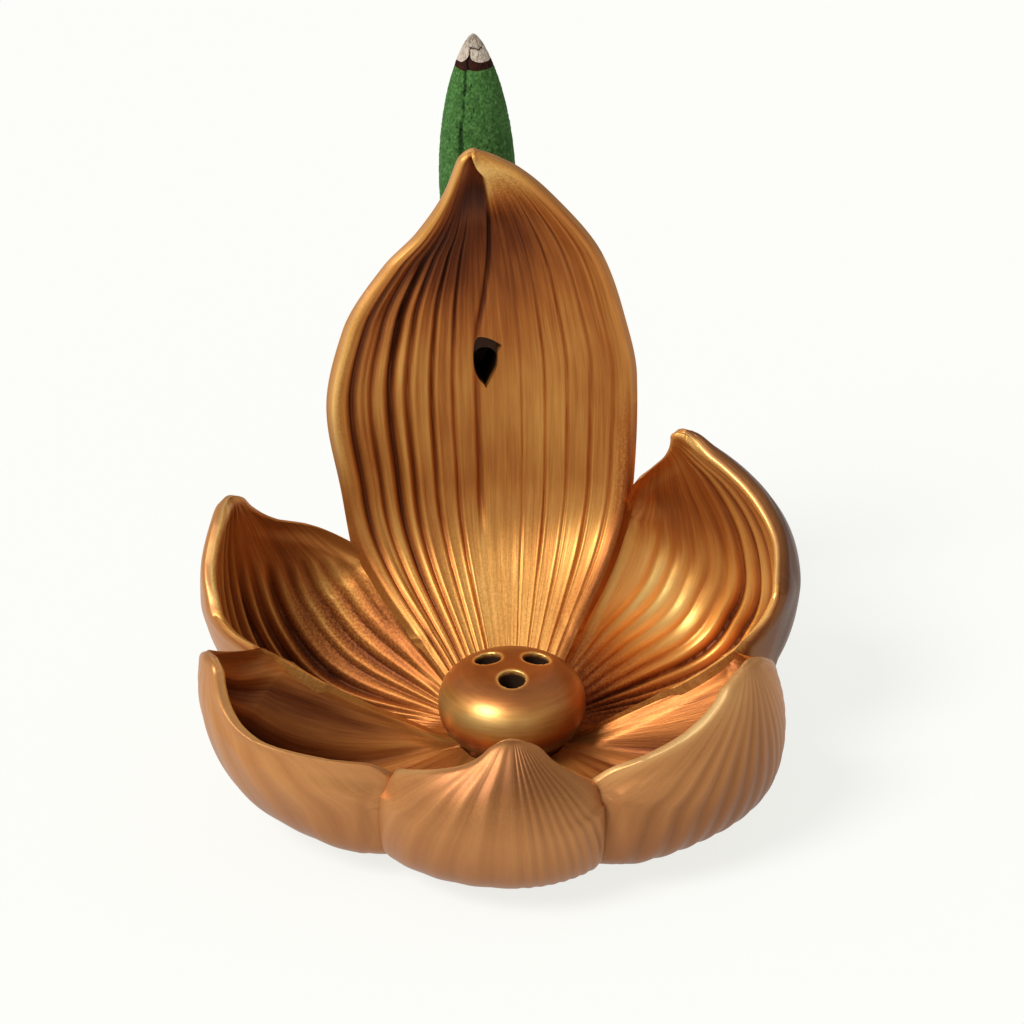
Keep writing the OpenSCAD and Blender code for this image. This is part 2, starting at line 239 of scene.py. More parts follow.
RIGHT_REAR = Petal(
    "right_rear_petal", (0, 59), 26, 18, 0.42, HIGH_FLOOR, [FOOT, HIGH_BELLY, (55, 26), (37.5, 48.5)], 3,
    Side(8, 0.9, 8, [(0.56, 1), (0.66, 0.98), (0.75, 0.82), (0.85, 0.6), (0.93, 0.42), (0.975, 0.26),
                     (1, 0.14)],
         0.15, True,
         [(0, 8.5, 7.5), (0.1, 17.5, 12.5), (0.2, 24.5, 16.5), (0.3, 30.5, 20.5), (0.4, 34.5, 24),
          (0.5, 37, 27), (0.6, 38.7, 30), (0.7, 39.9, 33), (0.8, 40, 36.3), (0.9, 38.7, 40.9),
          (1, 35.7, 47.1)],
         lip=0.5, curl=1.2, gilt=0.45),
    Side(15, 0.82, 11.5, [(0.79, 1), (0.84, 0.88), (0.87, 0.69), (0.915, 0.42), (0.96, 0.24), (1, 0.12)],
         0.78, False, curl=0.5, gilt=0.9),
    "gold_inside", 31, columns=221,
    grooves=[(-0.5, 0.5, 0.035), (-0.22, 0.7, 0.03), (-0.08, 1.0, 0.03), (0.06, 1.1, 0.03), (0.2, 1.0, 0.03),
             (0.33, 0.4, 0.025), (0.45, 0.32, 0.022), (0.56, 0.25, 0.02), (0.66, 0.25, 0.02),
             (0.76, 0.2, 0.02)],
    pleats=evenly((-0.8, -0.6, -0.3, 0, 0.4), 0.14, 0.06),
    flow=SWIRL, swells=[(0.86, -0.4, 0.24, 0.6, 3.2)],
    # Inside: the paler patches are partly painted highlights where the lamp's light falls; the darker foot
    # by the pod is painted shade.
    tones_and_painted_light=[(0.34, 0.7, 0.12, 0.36, 0.42), (0.58, 0.1, 0.18, 0.3, 0.24), (0.06, 0, 0.12, 1.2, -0.42),
           (0.36, 0.2, 0.14, 0.2, -0.12), (0.75, 0.5, 0.15, 0.5, -0.16),
           (0.35, -0.98, 0.35, 0.08, 0.26), (0.96, -0.2, 0.05, 0.6, 0.25)],
    worn=[(0.08, 0, 0.12, 1.5, 0.6), (0.35, -0.98, 0.3, 0.06, 0.5)],
    # Outside: the darker patch is painted shade on the side turned from the lamp.
    coat_and_painted_light=[(0.7, -0.5, 0.45, 0.8, -0.75)], calm=[(0.8, 0.8, 0.2, 0.4, 1.2)])
BACK = Petal(
    "back_petal", (59, 135), 96.5, 6, 0.42, BACK_FLOOR, [FOOT, BACK_BELLY, (42, 64), (28, 96)], 2,
    Side(0, 0.56, -4, [(0.42, 1), (0.6, 0.99), (0.7, 0.92), (0.8, 0.815), (0.9, 0.565), (0.96, 0.34),
                       (1, 0.04)],
         0.1, True, lip=0.1, curl=0.5, gilt=1),
    Side(0, 0.56, -4, [(0.3, 1), (0.42, 1.02), (0.575, 1.08), (0.7, 0.975), (0.8, 0.70), (0.85, 0.47),
                       (0.92, 0.256), (0.97, 0.165), (1, 0.09)],
         0.1, True, lip=0.2, curl=0.9),
    "gold_inside", 41, rows=230, columns=361,
    grooves=[(0.87, 0.8, 0.026), (0.74, 0.5, 0.018), (0.62, 1.1, 0.028), (0.51, 0.7, 0.02),
             (0.36, 0.65, 0.016), (0.22, 0.5, 0.014), (-0.25, 0.2, 0.01), (-0.42, 0.28, 0.01),
             (-0.58, 0.3, 0.011), (-0.74, 0.32, 0.012), (-0.88, 0.22, 0.012)],
    pleats=evenly((-0.75, -0.45, -0.15, 0.15, 0.45, 0.75), 0.18, 0.06),
    # Inside: the paler low middle and right side are painted light, the darker hollow at the tip is painted
    # shade, and the dark band along the right edge is a painted shadow.
    tones_and_painted_light=[(0.2, 0.1, 0.14, 0.5, 0.16), (0.3, -0.55, 0.2, 0.3, 0.08), (0.85, 0.5, 0.13, 0.5, -0.47),
           (0.86, -0.3, 0.16, 0.5, -0.3), (0.58, 0.6, 0.12, 0.4, 0.08),
           (0.55, -0.3, 0.12, 0.5, 0.1), (0.3, -0.97, 0.2, 0.06, -0.3),
           (0.965, -0.5, 0.035, 0.5, 0.3), (0.95, 0.35, 0.06, 0.5, 0.16)],
    worn=[(0.95, -0.5, 0.05, 0.4, 0.6), (0.6, 0.97, 0.2, 0.03, 0.25), (0.45, -0.95, 0.1, 0.05, 0.4),
          (0.16, 0, 0.16, 1.5, 0.35)],
    calm=[(0.97, 0, 0.08, 1.5, 1.3), (0.87, 0.6, 0.1, 0.6, 0.45)],
    hood=[(0.55, 0.06), (0.665, 0.045), (0.735, -0.02), (0.8, -0.08), (0.9, -0.15), (0.95, -0.17),
          (0.98, 0.05), (1, 0.5)])
LEFT_REAR = Petal(
    "left_rear_petal", (135, 182), 160, 0, 0.42, HIGH_FLOOR, [FOOT, HIGH_BELLY, (54, 20), (48.5, 41.5)], 3,
    Side(14, 0.82, 16, [(0.76, 1), (0.80, 0.92), (0.837, 0.78), (0.856, 0.67), (0.876, 0.5), (0.933, 0.3),
                        (0.973, 0.2), (1, 0.13)],
         0.74, False, curl=0.4, gilt=0.92),
    Side(9, 0.9, 6, [(0.62, 1), (0.74, 0.99), (0.8, 0.86), (0.87, 0.68), (0.94, 0.45), (0.98, 0.27),
                     (1, 0.16)],
         0.2, True,
         [(0, 8.5, 7.5), (0.2, 25.5, 16), (0.4, 35, 22.3), (0.6, 40.8, 25.8), (0.7, 43.3, 28),
          (0.8, 45.3, 31), (0.9, 46.6, 35), (1, 46.3, 41)],
         lip=0.25, curl=0.5, gilt=0.72),
    "gold_inside", 51, columns=221,
    grooves=[(-0.9, 0.3, 0.025), (-0.8, 0.4, 0.025), (-0.69, 0.6, 0.03), (-0.58, 0.45, 0.025),
             (-0.45, 0.8, 0.03), (-0.32, 0.7, 0.028), (-0.2, 0.9, 0.032), (-0.07, 0.8, 0.03),
             (0.06, 1.0, 0.035), (0.2, 0.9, 0.03), (0.34, 1.1, 0.035), (0.48, 1.0, 0.035),
             (0.62, 1.1, 0.035), (0.76, 0.8, 0.035)],
    pleats=evenly((-0.6, -0.2, 0.2, 0.6), 0.1, 0.06),
    flow=BOWL,
    # Inside: the darker spots low down and under the top edge at the right are painted shade.
    tones_and_painted_light=[(0.4, -0.6, 0.25, 0.4, -0.02), (0.78, -0.6, 0.12, 0.4, -0.12), (0.25, -0.2, 0.2, 1, -0.22),
           (0.7, 0.3, 0.2, 0.5, 0.04), (0.4, 0.97, 0.3, 0.08, 0.3)],
    worn=[(0.4, 0.96, 0.25, 0.06, 0.8), (0.85, 0.95, 0.15, 0.1, 0.5), (0.35, -0.7, 0.25, 0.4, 0.7)],
    calm=[(0.82, -0.6, 0.14, 0.5, 1.6)])
LEFT_FRONT = Petal(
    "left_front_petal", (182, 238), 206, 0, 0.50, LOW_FLOOR, [FOOT, LOW_BELLY, (52.5, 16.5), (49, 34)], 3,
    Side(6, 0.85, 10, [(0.72, 1), (0.767, 0.97), (0.807, 0.84), (0.873, 0.61), (0.94, 0.37), (0.98, 0.2),
                       (1, 0.09)],
         0.74, False, gilt=0.95),
    Side(3, 0.73, 10, [(0.72, 1), (0.77, 0.9), (0.785, 0.68), (0.805, 0.38), (0.85, 0.22), (0.92, 0.12),
                       (1, 0.07)],
         0.72, False, curl=0.3, gilt=0.7),
    "gold_outside", 61, rows=240,
    grooves=evenly((-0.75, -0.5, -0.25, 0, 0.25, 0.5, 0.72), 0.6, 0.08),
    pleats=evenly((-0.5, -0.25, 0, 0.25, 0.5, 0.75), 0.1, 0.06),
    # Inside painted darker all over: painted shade, as the inside faces away from the lamp.
    flow=FAN, swells=[(0.92, 0, 0.25, 0.6, 1.2)], tones_and_painted_light=[(0.6, 0, 0.5, 1.2, -0.28)],
    coat_and_painted_light=[(0.4, 0.3, 0.2, 0.8, -0.12)], calm=[(0.785, 0.7, 0.05, 0.7, 1.5)])
PETALS = [FRONT, RIGHT_FRONT, RIGHT_REAR, BACK, LEFT_REAR, LEFT_FRONT]


# Curves and noise

def smooth(x):
    c = np.clip(x, 0, 1)
    return c * c * (3 - 2 * c)


def bezier(points, u):
    p = [np.asarray(q, float) for q in points]
    u = np.asarray(u, float)[..., None]
    return (1 - u) ** 3 * p[0] + 3 * (1 - u) ** 2 * u * p[1] + 3 * (1 - u) * u * u * p[2] + u ** 3 * p[3]


def bezier_direction(points, u):
    p = [np.asarray(q, float) for q in points]
    u = np.asarray(u, float)[..., None]
    d = (1 - u) ** 2 * (p[1] - p[0]) + 2 * (1 - u) * u * (p[2] - p[1]) + u * u * (p[3] - p[2])
    return d / np.linalg.norm(d, axis=-1, keepdims=True)


def inward(d):
    return np.stack([-d[..., 1], d[..., 0]], -1)


def curve_through(points, x):
    """A smooth curve through points, without overshoot, level before the first and after the last."""
    px, py = np.asarray(points, float).T
    step = np.diff(px)
    rise = np.diff(py) / step
    slope = np.concatenate([rise[:1], np.zeros(len(rise) - 1), rise[-1:]])
    same_way = rise[:-1] * rise[1:] > 0
    both = np.where(same_way, rise[:-1] + rise[1:], 1)
    slope[1:-1] = np.where(same_way, 2 * rise[:-1] * rise[1:] / both, 0)
    k = np.clip(np.searchsorted(px, x) - 1, 0, len(step) - 1)
    t = np.clip((x - px[k]) / step[k], 0, 1)
    near = (1 + 2 * t) * (1 - t) ** 2 * py[k] + t * (1 - t) ** 2 * step[k] * slope[k]
    far = t * t * (3 - 2 * t) * py[k + 1] + t * t * (t - 1) * step[k] * slope[k + 1]
    return near + far


def spots(marks, u, v):
    """Sum of soft spots, each (height, place across, their spreads, amount)."""
    total = np.zeros_like(u)
    for at_u, at_v, wide_u, wide_v, amount in marks:
        total += amount * np.exp(-((u - at_u) / wide_u) ** 2 - ((v - at_v) / wide_v) ** 2)
    return total


def lattice_noise(x, y, seed):
    """Smooth noise between 0 and 1 on a seeded lattice."""
    size = 128
    table = np.random.default_rng(seed).random((size, size))
    xi = np.floor(x).astype(int)
    yi = np.floor(y).astype(int)
    fx = smooth(x - xi)
    fy = smooth(y - yi)
    low = table[xi % size, yi % size] * (1 - fx) + table[(xi + 1) % size, yi % size] * fx
    high = table[xi % size, (yi + 1) % size] * (1 - fx) + table[(xi + 1) % size, (yi + 1) % size] * fx
    return low * (1 - fy) + high * fy


def fractal(x, y, seed, octaves=3):
    """Layered noise between -1 and 1."""
    total = sum(lattice_noise(x * 2 ** k, y * 2 ** k, seed + k) / 2 ** k for k in range(octaves))
    return 2 * total / sum(1 / 2 ** k for k in range(octaves)) - 1


# Petal surfaces

def side_value(petal, name, v):
    return np.where(v < 0, getattr(petal.cw, name), getattr(petal.ccw, name))


def side_blend(petal, name, v):
    """The value of each side, eased from one to the other across the petal's middle."""
    low = getattr(petal.cw, name)
    return low + (getattr(petal.ccw, name) - low) * smooth(v / 0.7 + 0.5)


def width_share(petal, u, v):
    """Share of the half width that the petal fills, with a blunt round end at the tip."""
    share = np.where(v < 0, curve_through(petal.cw.rim, u), curve_through(petal.ccw.rim, u))
    reach = 3 * math.dist(petal.curve[2], petal.curve[3])
    t = np.clip(1 - (1 - u) * reach / TIP_BLUNT, 0, 0.999)
    return share * np.sqrt(1 - t * t)


def tuck_share(petal, u, x):
    """How far a tucked edge runs on under its neighbour."""
    tucked = 1 - smooth((u - side_value(petal, "bare", x)) / TUCK_FADE)
    return np.where(side_value(petal, "over", x), 0, TUCK_SHARE * tucked * x ** 3)


def petal_turn(petal, u, x):
    half = np.where(x < 0, petal.axis - petal.seams[0], petal.seams[1] - petal.axis)
    t = np.clip((u - petal.shell) / (1 - petal.shell), 0, 1)
    return petal.axis + half * x + petal.sway * t * t * (1 - x * x)


def petal_lift(petal, u, x):
    s = np.clip(u / petal.shell, 0, 1)
    fading = 1 - smooth((u - petal.shell) / (side_value(petal, "settle", x) - petal.shell))
    share = np.where(u < petal.shell, np.sin(s * math.pi / 2), fading)
    return side_value(petal, "lift", x) * x * x * share


def cup_share(petal, u):
    """Share of the edges' draw-in: grows up the floor and levels off softly where the free wall starts."""
    s = u / petal.shell
    t = np.clip((s - 1 + CUP_EASE) / (2 * CUP_EASE), 0, 1)
    return np.minimum(s, 1 - CUP_EASE * (1 - t) ** 2)


def plain_wall(petal, u, x):
    """Inner face before its edges are brought into place."""
    s = np.clip(u / petal.shell, 0, 1)
    cup = side_value(petal, "cup", x) * x * x * cup_share(petal, u)
    lift = petal_lift(petal, u, x)
    wall = bezier(petal.curve, u) + WALL * inward(bezier_direction(petal.curve, u))
    wall = wall + np.stack([-cup, lift], -1)
    direction = bezier_direction(petal.curve, petal.shell)
    end = bezier(petal.curve, petal.shell) + WALL * inward(direction)
    pull = FLOOR_PULL * np.linalg.norm(end - ROOT)
    floor = bezier([ROOT, petal.floor, end - pull * direction, end], s)
    floor = floor + np.stack([-cup, lift], -1)
    return np.where((u < petal.shell)[..., None], floor, wall)


def edge_shift(petal, u, x):
    """Brings the inner edges to their own points, less and less towards the petal's middle."""
    shift = np.zeros((*np.shape(u), 2))
    for way, side in ((-1, petal.cw), (1, petal.ccw)):
        if not side.edge:
            continue
        share = curve_through(side.rim, u)
        now = plain_wall(petal, u, way * share)
        weight = np.clip(way * x / share, 0, 1) ** EDGE_REACH
        for k in (0, 1):
            goal = curve_through([(point[0], point[k + 1]) for point in side.edge], u)
            shift[..., k] += weight * (goal - now[..., k])
    return shift


def outer_section(petal, u, x):
    s = np.clip(u / petal.shell, 0, 1)
    cup = petal.foot_cup + (side_value(petal, "cup", x) - petal.foot_cup) * cup_share(petal, u)
    shift = np.stack([-cup * x * x, petal_lift(petal, u, x) * s ** 4], -1)
    return bezier(petal.curve, u) + shift + edge_shift(petal, u, x) * (s ** 4)[..., None]


def inner_section(petal, u, x):
    return plain_wall(petal, u, x) + edge_shift(petal, u, x)


def line_run(line):
    """Distance along a line of points from its start."""
    return np.concatenate([[0], np.cumsum(np.linalg.norm(np.diff(line, axis=0), axis=1))])


def eased(values, spread=90):
    """Values along a line, averaged with their neighbours."""
    window = np.hanning(2 * spread + 1)
    padded = np.pad(values, spread, "edge")
    return np.convolve(padded, window / window.sum(), "valid")


def seam_shift(petal, section, u, x):
    """Moves a tucked edge onto the edge of the neighbour that covers it; fades across the petal."""
    heights = np.linspace(0, 1, 1200)
    ones = np.ones_like(heights)
    shift = np.zeros((*u.shape, 2))
    place = PETALS.index(petal)
    for way, side in ((-1, petal.cw), (1, petal.ccw)):
        if side.over:
            continue
        other = PETALS[(place + way) % len(PETALS)]
        mine = section(petal, heights, way * ones)
        cover = section(other, heights, -way * ones)
        nearest = np.argmin(np.linalg.norm(mine[:, None] - cover[None], axis=2), axis=1)
        weight = smooth((way * x - 0.3) / 0.7) * (1 - smooth((u - side.bare) / (1 - side.bare)))
        for k in (0, 1):
            moved = cover[nearest, k] - mine[:, k]
            held = eased(np.interp(np.minimum(heights, side.bare), heights, moved))
            shift[..., k] += weight * np.interp(u, heights, held)
    return shift


def around(section, turn):
    a = np.radians(turn)
    return np.stack([section[..., 0] * np.cos(a), section[..., 0] * np.sin(a), section[..., 1]], -1)


def bare_grid(petal, section, u, v):
    """Points of one face of the petal before its relief."""
    x = width_share(petal, u, v) * v
    line = section(petal, u, x) + seam_shift(petal, section, u, x)
    line[..., 0] += spots(petal.swells, u, x)
    return around(line, petal_turn(petal, u, x + tuck_share(petal, u, x)))


def even_rows(petal):
    """Height shares of the mesh's rows: even along the inner mid-line, but closer at the tip."""
    u = np.linspace(0, 1, 400)
    middle = np.zeros_like(u)
    run = line_run(inner_section(petal, u, middle))
    s = np.linspace(0, 1, petal.rows)
    s = 0.45 * s + 0.55 * np.sin(s * math.pi / 2)
    return np.interp(s * run[-1], run, u)


def grid_normals(points, towards):
    """Unit normals of a grid of points, on the side that the vectors 'towards' lie."""
    n = np.cross(np.gradient(points, axis=0), np.gradient(points, axis=1))
    n /= np.maximum(np.linalg.norm(n, axis=2, keepdims=True), 1e-9)
    n[-TIP_ROWS:] = n[-TIP_ROWS - 1]
    return n if np.sum(n * towards) > 0 else -n


def level(points, normals, share):
    """Normals with a share of their part along the turn taken out, so that edges stay in their seam."""
    turn = np.arctan2(points[..., 1], points[..., 0])
    along = np.stack([-np.sin(turn), np.cos(turn), np.zeros_like(turn)], -1)
    return normals - along * (share * np.sum(normals * along, axis=-1))[..., None]


def run_from(points, line):
    """Distance of each point from a line of points."""
    nearest = np.full(points.shape[:-1], np.inf)
    for start, end in zip(line[:-1], line[1:]):
        way = end - start
        share = np.clip((points - start) @ way / max(way @ way, 1e-9), 0, 1)
        nearest = np.minimum(nearest, np.linalg.norm(points - start - share[..., None] * way, axis=-1))
    return nearest


def run_along(points):
    """Distances along each column from the first row."""
    step = np.linalg.norm(np.diff(points, axis=0), axis=2)
    return np.concatenate([np.zeros((1, points.shape[1])), np.cumsum(step, axis=0)], axis=0)


def groove_field(v, u, grooves, seed):
    """Depth of listed grooves that run up a petal, wander a little and vary in depth."""
    place = v + 0.022 * fractal(u * 2.3, v * 1.5, seed, 2)
    depth = np.zeros_like(v)
    for at, deep, wide in grooves:
        vary = 1 + 0.45 * fractal(u * 3.1 + 7 * at, v * 0, seed + 3, 2)
        off = np.abs(place - at) / wide
        depth += deep * vary * (np.exp(-off ** 1.5) - RIDGE * np.exp(-((off - 1.9) / 0.8) ** 2))
    return depth


def furrow_place(petal, u, v):
    """Place across the lines that the furrows follow."""
    if not petal.flow:
        return v
    share, middle = (curve_through([(point[0], point[k]) for point in petal.flow], u) for k in (1, 2))
    return (width_share(petal, u, v) * v - middle) / share


HOOD_START = 0.86
HOOD_DEPTH = 0.95
HOOD_RIDGE = 1
CREASE_DEPTH = 0.55


def hood_relief(petal, u, v):
    """A crease up the petal that opens at the tip into a hollow with a ridge; also that ridge's line, which
    the paint makes pale, partly as rubbed gold and partly as a painted highlight.
    """
    if not petal.hood:
        return np.zeros_like(u), np.zeros_like(u)
    off = v - curve_through(petal.hood, u)
    open_share = smooth((u - HOOD_START) / 0.07) * smooth((1.01 - u) / 0.03)
    left = np.clip(off / np.maximum(1 - (v - off), 0.05), 0, 1)
    hollow = HOOD_DEPTH * smooth(off / 0.1 + 0.5) * (1 - left) ** 0.6
    ridge = HOOD_RIDGE * np.exp(-np.maximum(-off, 0) / 0.35) * smooth(0.5 - off / 0.1)
    crease = CREASE_DEPTH * np.exp(-(off / 0.022) ** 2) * smooth((u - 0.3) / 0.1) * (1 - open_share)
    line = open_share * np.exp(-((off + 0.015) / 0.03) ** 2)
    return open_share * (ridge - hollow) - crease, line


def petal_surfaces(petal):
    """Finished inner and outer grids with the values that the paint uses."""
    w = np.linspace(-1, 1, petal.columns)
    v = (1 - EDGE_CROWD) * w + EDGE_CROWD * np.sin(w * math.pi / 2)
    u, v = np.meshgrid(even_rows(petal), v, indexing="ij")
    inner = bare_grid(petal, inner_section, u, v)
    outer = bare_grid(petal, outer_section, u, v)

    along = run_along(inner)
    side_run = np.where(v < 0, run_from(inner, inner[:, 0]), run_from(inner, inner[:, -1]))
    tip_run = run_from(inner, inner[-1])
    width = np.linalg.norm(np.diff(inner, axis=1), axis=2).sum(axis=1, keepdims=True)
    over = side_value(petal, "over", v)
    bare = smooth((u - side_value(petal, "bare", v)) / np.where(over, BARE_EASE_OVER, BARE_EASE_UNDER))
    rim_run = np.minimum(side_run / np.maximum(bare, 0.02), tip_run)

    near_side = np.clip(1 - side_run / np.minimum(RIM_ROUND, 0.45 * width), 0, 1) * np.where(over, bare, 1)
    near_tip = np.clip(1 - tip_run / TIP_ROUND, 0, 1)
    edge = np.minimum(np.hypot(near_side, near_tip), 1)
    drop = RIM_DROP * (1 - np.sqrt(1 - edge ** 2))
    groove = SEAM_SINK * np.clip(1 - side_run / SEAM_ROUND, 0, 1) ** 2
    tuck = np.where(over, groove, TUCK * smooth(1.3 - side_run / TUCK_RUN))
    drop = np.maximum(drop, tuck * (1 - bare))

    across = furrow_place(petal, u, v)
    size = (width / width.max()) ** 0.7
    fade = smooth(u / 0.1) * smooth((1 - u) / 0.06) * smooth(rim_run / 2.2)
    reeds = REED * fractal(across * REEDS_INSIDE, u * 2.5, petal.seed, 3) * size * smooth(rim_run / 1.5)
    calm = 1 - np.clip(spots(petal.calm, u, v), 0, 1)
    relief = reeds - groove_field(across, u, petal.grooves, petal.seed + 5) * size * fade * calm
    hood, ridge_rub_and_sheen = hood_relief(petal, u, v)
    relief += hood * smooth(side_run / 1.2)
    lip = side_blend(petal, "lip", v) * bare
    bead = np.exp(-((rim_run - LIP_RUN) / 1.1) ** 2)
    dip = np.exp(-((rim_run - LIP_DIP_RUN) / 0.9) ** 2)
    lip = lip * (bead - 0.6 * dip)
    pleats = -groove_field(across, u, petal.pleats, petal.seed + 9) * size * fade
    pleats += 0.4 * REED * fractal(across * REEDS_OUTSIDE, u * 2, petal.seed + 13, 3) * size

    into_bowl = grid_normals(inner, inner - outer)
    out_of_bowl = grid_normals(outer, outer - inner)
    drop = np.minimum(drop, WALL_LEFT * np.abs(np.sum((inner - outer) * into_bowl, axis=-1)))
    in_seam = (1 - bare) * smooth(1.2 - side_run / TUCK_RUN)
    rim_start = np.where(v < 0, petal.cw.rim[0][0], petal.ccw.rim[0][0])
    curl = side_blend(petal, "curl", v) * smooth((u - rim_start) / CURL_START)
    curl *= smooth(tip_run / CURL_TIP_RUN)
    bend = into_bowl * (curl * np.clip(1 - rim_run / CURL_RUN, 0, 1) ** 2)[..., None]
    sunk = drop[..., None]
    inner = inner + bend + into_bowl * (relief + lip)[..., None] - sunk * level(inner, into_bowl, in_seam)
    outer = outer + bend + out_of_bowl * pleats[..., None] - sunk * level(outer, out_of_bowl, in_seam)
    gilt = smooth((u - side_value(petal, "gilt", v)) / GILT_EASE)
    paint = {
        # The ridge's line is painted pale: rubbed gold and a painted highlight.
        "rim": np.maximum(gilt * np.exp(-rim_run ** 2), 0.8 * ridge_rub_and_sheen),
        "edge": 0.2 * gilt * np.exp(-(rim_run / 0.7) ** 2),
        "shade": spots(petal.tones_and_painted_light, u, v),
        "coat_and_painted_light": spots(petal.coat_and_painted_light, u, v),
        "worn": spots(petal.worn, u, v),
        "uv": np.stack([across * STREAKS, along], -1),
    }
    return inner, outer, relief + lip, pleats, paint


# Meshes

def mesh_object(name, points, faces, materials, face_materials=None, values=None, uv=None):
    """A smooth-shaded object from points in millimetres, with named values on its points."""
    mesh = bpy.data.meshes.new(name)
    mesh.from_pydata((np.asarray(points) * MM).tolist(), [], faces)
    for material in materials:
        mesh.materials.append(material)
    if face_materials is not None:
        mesh.polygons.foreach_set("material_index", face_materials)
    for key, value in (values or {}).items():
        set_value(mesh, key, value)
    if uv is not None:
        corners = np.concatenate([np.asarray(f) for f in faces])
        places = np.asarray(uv)[corners].ravel().astype(np.float32)
        mesh.uv_layers.new(name="UVMap").data.foreach_set("uv", places)
    tidy_normals(mesh)
    obj = bpy.data.objects.new(name, mesh)
    bpy.context.collection.objects.link(obj)
    return obj


def set_value(mesh, name, value):
    """Puts a named value on the mesh's points."""
    numbers = np.ravel(value).astype(np.float32)
    mesh.attributes.new(name, "FLOAT", "POINT").data.foreach_set("value", numbers)


def shade_smooth(mesh):
    mesh.polygons.foreach_set("use_smooth", np.ones(len(mesh.polygons), bool))


def tidy_normals(mesh):
    work = bmesh.new()
    work.from_mesh(mesh)
    bmesh.ops.recalc_face_normals(work, faces=work.faces)
    work.to_mesh(mesh)
    work.free()
    shade_smooth(mesh)
    mesh.set_sharp_from_angle(angle=SHARP_EDGE)


def grid_quads(rows, columns, start=0):
    i, j = np.meshgrid(np.arange(rows - 1), np.arange(columns - 1), indexing="ij")
    a = (start + i * columns + j).ravel()
    return np.stack([a, a + 1, a + columns + 1, a + columns], 1)


def strip(first, second):
    """Quads between two rows of point numbers."""
    return np.stack([first[:-1], first[1:], second[1:], second[:-1]], 1)


def petal_object(petal, inside, outside):
    inner, outer, relief, pleats, paint = petal_surfaces(petal)
    rows, columns = relief.shape
    count = rows * columns
    numbers = np.arange(count).reshape(rows, columns)
    far = numbers + count
    root = np.arange(columns) + 2 * count
    angle = np.arctan2(inner[0, :, 1], inner[0, :, 0])
    root_points = np.stack([ROOT[0] * np.cos(angle), ROOT[0] * np.sin(angle), np.full(columns, BASE_TOP)], 1)

    heights = even_rows(petal)
    starts = [side.rim[0][0] + COVERED_EDGE * side.over for side in (petal.cw, petal.ccw)]
    free = [int(np.searchsorted(heights, start)) for start in starts]
    inner_faces = np.concatenate([
        grid_quads(rows, columns),
        strip(numbers[:free[0] + 1, 0], far[:free[0] + 1, 0]),
        strip(numbers[:free[1] + 1, -1], far[:free[1] + 1, -1]),
    ])
    other_faces = np.concatenate([
        grid_quads(rows, columns, count),
        strip(numbers[free[0]:, 0], far[free[0]:, 0]),
        strip(numbers[free[1]:, -1], far[free[1]:, -1]),
        strip(numbers[-1], far[-1]),
        strip(numbers[0], root),
        strip(root, far[0]),
    ])
    ends = [[numbers[0, j], root[j], far[0, j]] for j in (0, columns - 1)]
    faces = inner_faces.tolist() + other_faces.tolist() + ends
    face_materials = np.ones(len(faces), int)
    face_materials[:len(inner_faces)] = 0

    pairs = {
        "relief": (relief, pleats),
        "rim": (paint["rim"], paint["edge"]),
        "shade": (paint["shade"], paint["coat_and_painted_light"]),
        "worn": (paint["worn"], np.zeros(count)),
    }
    at_root = np.zeros(columns)
    values = {key: np.concatenate([a.ravel(), b.ravel(), at_root]) for key, (a, b) in pairs.items()}
    uv = paint["uv"].reshape(-1, 2)
    uv = np.concatenate([uv, uv, uv[:columns]])
    points = np.concatenate([inner.reshape(-1, 3), outer.reshape(-1, 3), root_points])
    return mesh_object(petal.node + "_cast", points, faces, [inside, outside], face_materials, values, uv)


def lathe(profile, segments):
    """Points and faces of a turned form; the profile runs from the axis to the axis."""
    profile = np.asarray(profile, float)
    a = np.arange(segments) * 2 * math.pi / segments
    ring = profile[1:-1]
    points = np.stack([ring[:, None, 0] * np.cos(a), ring[:, None, 0] * np.sin(a),
                       np.repeat(ring[:, None, 1], segments, 1)], -1).reshape(-1, 3)
    rows = len(ring)
    low = len(points)
    high = low + 1
    points = np.concatenate([points, [(0, 0, profile[0, 1]), (0, 0, profile[-1, 1])]])
    faces = []
    for i in range(rows - 1):
        for j in range(segments):
            k = (j + 1) % segments
            near = i * segments
            far = near + segments
            faces.append([near + j, near + k, far + k, far + j])
    for j in range(segments):
        k = (j + 1) % segments
        faces.append([low, k, j])
        faces.append([high, (rows - 1) * segments + j, (rows - 1) * segments + k])
    return points, faces


def apply_modifiers(obj):
    """Replaces the object's mesh by what its modifiers make of it."""
    graph = bpy.context.evaluated_depsgraph_get()
    shown = obj.evaluated_get(graph)
    made = bpy.data.meshes.new_from_object(shown, preserve_all_data_layers=True, depsgraph=graph)
    obj.modifiers.clear()
    obj.data = made
    return obj


def boolean(obj, tools, operation="DIFFERENCE"):
    for tool in tools:
        step = obj.modifiers.new("cut", "BOOLEAN")
        step.operation = operation
        step.object = tool
        step.solver = "EXACT"
        apply_modifiers(obj)
        bpy.data.objects.remove(tool)
    return obj


def rod(name, radius, start, end, segments=48):
    """A round rod between two points."""
    axis = np.asarray(end, float) - np.asarray(start, float)
    length = np.linalg.norm(axis)
    points, faces = lathe([(0, 0), (radius, 0), (radius, length), (0, length)], segments)
    turn = Vector(axis).to_track_quat("Z", "Y").to_matrix()
    points = points @ np.array(turn).T + np.asarray(start, float)
    return mesh_object(name, points, faces, [])


